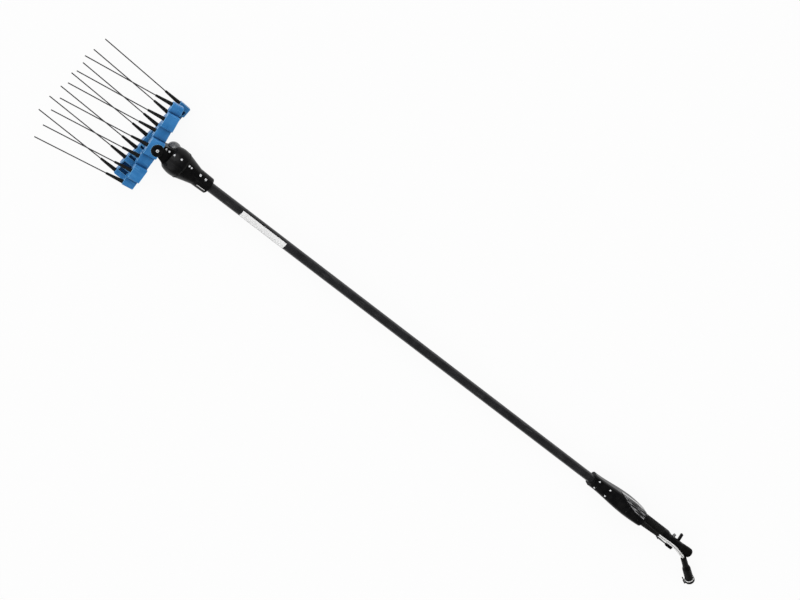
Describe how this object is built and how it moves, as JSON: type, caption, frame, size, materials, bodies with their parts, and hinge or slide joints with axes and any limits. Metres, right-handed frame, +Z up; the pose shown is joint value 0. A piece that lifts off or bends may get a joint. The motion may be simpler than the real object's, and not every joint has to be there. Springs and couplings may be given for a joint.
{
  "type": "electric olive harvester",
  "caption": "Long-pole electric olive harvester: two blue combs with thin flexible tines swing in scissor on a drive head; control handle with trigger, lock lever and power lead.",
  "frame": {"origin": "centre of the flat rest face under the handle housing", "axes": "+X along the pole from the combs to the rear grip, +Z up from the surface it lies on, +Y to the side of the lock lever"},
  "size_m": [2.6139, 0.3262, 0.082],
  "materials": {
    "comb_blue": "moulded, satin gloss",
    "tine_dark": "carbon fibre rod",
    "rubber_black": "moulded rubber",
    "housing_black": "moulded, satin",
    "cap_grey": "smoky gloss",
    "pole_charcoal": "charcoal coated tube",
    "band_white": "plain film",
    "screw_steel": "bright zinc",
    "drive_steel": "machined",
    "motor_aluminium": "machined",
    "bush_brass": "turned",
    "cable_white": "smooth sheath",
    "wire_black": "sheath",
    "seal_pale": "soft ring",
    "board_green": "coated board",
    "spring_steel": "rolled strip"
  },
  "bodies": {
    "frame": {"comb_bushes": "bush_brass", "connector_body": "housing_black", "connector_boot": "rubber_black", "connector_contacts": "bush_brass", "connector_seal": "seal_pale", "control_board": "board_green", "grip_core": "housing_black", "grip_pommel": "housing_black", "grip_sleeve": "rubber_black", "handle_lower_shell": "housing_black", "handle_screws": "screw_steel", "handle_side_cover": "cap_grey", "handle_upper_shell": "housing_black", "head_lower_shell": "housing_black", "head_rear_housing": "housing_black", "head_screws": "screw_steel", "head_seam_ring": "rubber_black", "head_side_cap": "cap_grey", "head_upper_shell": "housing_black", "hinge_pins": "screw_steel", "motor_bearings": "drive_steel", "motor_can": "motor_aluminium", "motor_mount": "motor_aluminium", "pole": "pole_charcoal", "pole_band": "band_white", "pole_wire": "wire_black", "power_cable": "cable_white", "strain_relief": "rubber_black", "trigger_spring": "spring_steel"},
    "comb_upper": {"comb_bar_upper": "comb_blue", "comb_hub_upper": "housing_black", "hub_bolt_upper": "screw_steel", "swing_arm_upper": "drive_steel", "tine_boots_upper": "rubber_black", "tine_upper_1": "tine_dark", "tine_upper_2": "tine_dark", "tine_upper_3": "tine_dark", "tine_upper_4": "tine_dark", "tine_upper_5": "tine_dark", "tine_upper_6": "tine_dark", "tine_upper_7": "tine_dark"},
    "comb_lower": {"comb_bar_lower": "comb_blue", "comb_hub_lower": "housing_black", "hub_bolt_lower": "screw_steel", "swing_arm_lower": "drive_steel", "tine_boots_lower": "rubber_black", "tine_lower_1": "tine_dark", "tine_lower_2": "tine_dark", "tine_lower_3": "tine_dark", "tine_lower_4": "tine_dark", "tine_lower_5": "tine_dark", "tine_lower_6": "tine_dark", "tine_lower_7": "tine_dark"},
    "crank": {"crank": "drive_steel", "crank_rollers": "drive_steel", "motor_rotor": "drive_steel"},
    "trigger": {"trigger": "housing_black"},
    "lock_lever": {"lock_lever": "housing_black"},
    "hold_button": {"hold_button": "cap_grey"},
    "connector_latch": {"connector_latch": "housing_black"}
  },
  "joints": [
    {"name": "comb_upper_swing", "type": "hinge", "parent": "frame", "child": "comb_upper", "pos_m": [-1.892, 0, 0.041], "axis": [0, 0, 1], "range_deg": [-12.68, 1.32]},
    {"name": "comb_lower_swing", "type": "hinge", "parent": "frame", "child": "comb_lower", "pos_m": [-1.892, 0, 0.041], "axis": [0, 0, 1], "range_deg": [-1.33, 12.69]},
    {"name": "crank_turn", "type": "hinge", "parent": "frame", "child": "crank", "pos_m": [-1.816, 0, 0.041], "axis": [-1, 0, 0], "range_deg": [-108.79, 11.41]},
    {"name": "trigger_press", "type": "hinge", "parent": "frame", "child": "trigger", "pos_m": [0.173, -0.02, 0.041], "axis": [0, 0, 1], "range_deg": [0, 2], "stiffness_Nm_per_rad": 0.4, "deforming": ["trigger_spring"]},
    {"name": "lock_swing", "type": "hinge", "parent": "frame", "child": "lock_lever", "pos_m": [0.238, 0.008, 0.041], "axis": [0, 0, -1], "range_deg": [0, 40]},
    {"name": "hold_press", "type": "slide", "parent": "frame", "child": "hold_button", "axis": [0, -1, 0], "range_m": [0, 0.0025], "stiffness_N_per_m": 200},
    {"name": "latch_swing", "type": "hinge", "parent": "frame", "child": "connector_latch", "pos_m": [0.37913, -0.08821, 0.01769], "axis": [-0.2937, 0.1516, -0.9438], "range_deg": [0, 8], "stiffness_Nm_per_rad": 0.01}
  ],
  "couplings": [
    {"joint": "comb_lower_swing", "follows": "comb_upper_swing", "ratio": -1},
    {"joint": "crank_turn", "follows": "comb_upper_swing", "ratio": 8.5714}
  ]
}
